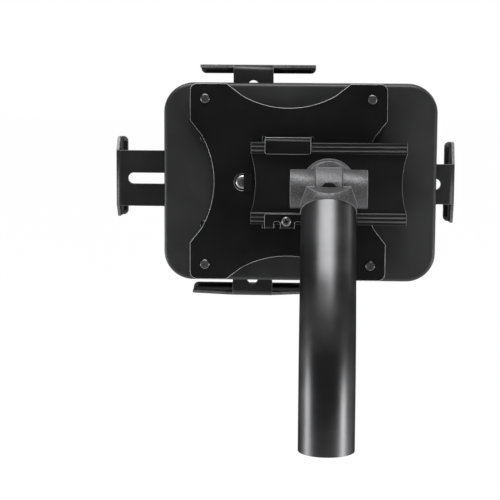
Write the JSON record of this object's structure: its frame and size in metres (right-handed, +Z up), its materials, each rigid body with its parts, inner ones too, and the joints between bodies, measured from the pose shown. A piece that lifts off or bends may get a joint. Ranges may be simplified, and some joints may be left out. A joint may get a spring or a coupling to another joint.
{
  "type": "tablet holder",
  "caption": "Tablet holder on a bent pole: tilting and swivelling head, rail with a sliding plate, flat case with sliding clamp arms and a key lock.",
  "frame": {"origin": "centre of the pole's lower end", "axes": "+Z up along the pole's foot, +Y from the pole towards the held tablet, +X to the right seen from behind the holder"},
  "size_m": [0.2058, 0.1318, 0.2122],
  "materials": {
    "black_powder_coat": "satin powder coat",
    "cast_dark_grey": "fine sparkling paint on a casting",
    "black_coated_steel": "smooth satin coat on sheet steel",
    "black_anodised": "black anodised extrusion",
    "black_case": "fine satin moulding",
    "black_trim": "smooth plastic",
    "plain_steel": "zinc plated steel",
    "dark_screw": "blackened steel with worn edges",
    "bright_lock": "polished",
    "black_rubber": "matte"
  },
  "bodies": {
    "pole": {"pole_tube": "black_powder_coat", "pole_end_plug": "plain_steel", "pole_fork": "cast_dark_grey", "fork_screws": "dark_screw", "tilt_screws": "dark_screw", "tilt_washers": "black_trim"},
    "head": {"swivel_knuckle": "cast_dark_grey", "swivel_washer": "black_trim", "swivel_bolt": "plain_steel", "swivel_spring_washer": "plain_steel", "swivel_nut": "plain_steel"},
    "slide_rail": {"rail": "black_anodised"},
    "carriage": {"adapter_plate": "black_coated_steel", "clip_screw": "plain_steel", "case_screws": "dark_screw", "rear_shell": "black_case", "front_cover": "black_case", "cover_screws": "dark_screw", "front_pads": "black_rubber", "left_guide": "plain_steel", "right_guide": "plain_steel", "top_guide": "plain_steel", "bottom_guide": "plain_steel", "left_guide_screws": "dark_screw", "guide_screws": "plain_steel", "slot_washers": "plain_steel", "slot_screws": "plain_steel", "lock_cylinder": "bright_lock", "lock_nut": "plain_steel", "lock_guard": "black_trim"},
    "left_clamp": {"left_arm": "black_coated_steel", "left_arm_pads": "black_rubber"},
    "right_clamp": {"right_arm": "black_coated_steel", "right_arm_pads": "black_rubber"},
    "top_clamp": {"top_arm": "black_coated_steel", "top_arm_pads": "black_rubber"},
    "bottom_clamp": {"bottom_arm": "black_coated_steel", "bottom_arm_pads": "black_rubber"},
    "key_plug": {"lock_plug": "dark_screw"},
    "locking_pin": {"lock_bolt": "plain_steel"}
  },
  "joints": [
    {"name": "tilt", "type": "hinge", "parent": "pole", "child": "head", "pos_m": [0, 0.05701, 0.14146], "axis": [1, 0, 0], "range_deg": [-15, 45]},
    {"name": "swivel", "type": "hinge", "parent": "head", "child": "slide_rail", "pos_m": [0, 0.07711, 0.14146], "axis": [0, 1, 0], "range_deg": [-90, 90]},
    {"name": "carriage_slide", "type": "slide", "parent": "slide_rail", "child": "carriage", "axis": [1, 0, 0], "range_m": [-0.0075, 0.056]},
    {"name": "left_arm_slide", "type": "slide", "parent": "carriage", "child": "left_clamp", "axis": [-1, 0, 0], "range_m": [-0.00733, 0.022]},
    {"name": "right_arm_slide", "type": "slide", "parent": "carriage", "child": "right_clamp", "axis": [1, 0, 0], "range_m": [0, 0.02]},
    {"name": "top_arm_slide", "type": "slide", "parent": "carriage", "child": "top_clamp", "axis": [0, 0, 1], "range_m": [0, 0.02]},
    {"name": "bottom_arm_slide", "type": "slide", "parent": "carriage", "child": "bottom_clamp", "axis": [0, 0, -1], "range_m": [0, 0.02]},
    {"name": "lock_turn", "type": "hinge", "parent": "carriage", "child": "key_plug", "pos_m": [-0.0517, 0.08436, 0.14246], "axis": [0, 1, 0], "range_deg": [0, 90]},
    {"name": "lock_pin_slide", "type": "slide", "parent": "carriage", "child": "locking_pin", "axis": [0, 1, 0], "range_m": [0, 0.004]}
  ],
  "couplings": [
    {"joint": "lock_turn", "follows": "lock_pin_slide", "rad_per_m": 392.69}
  ]
}
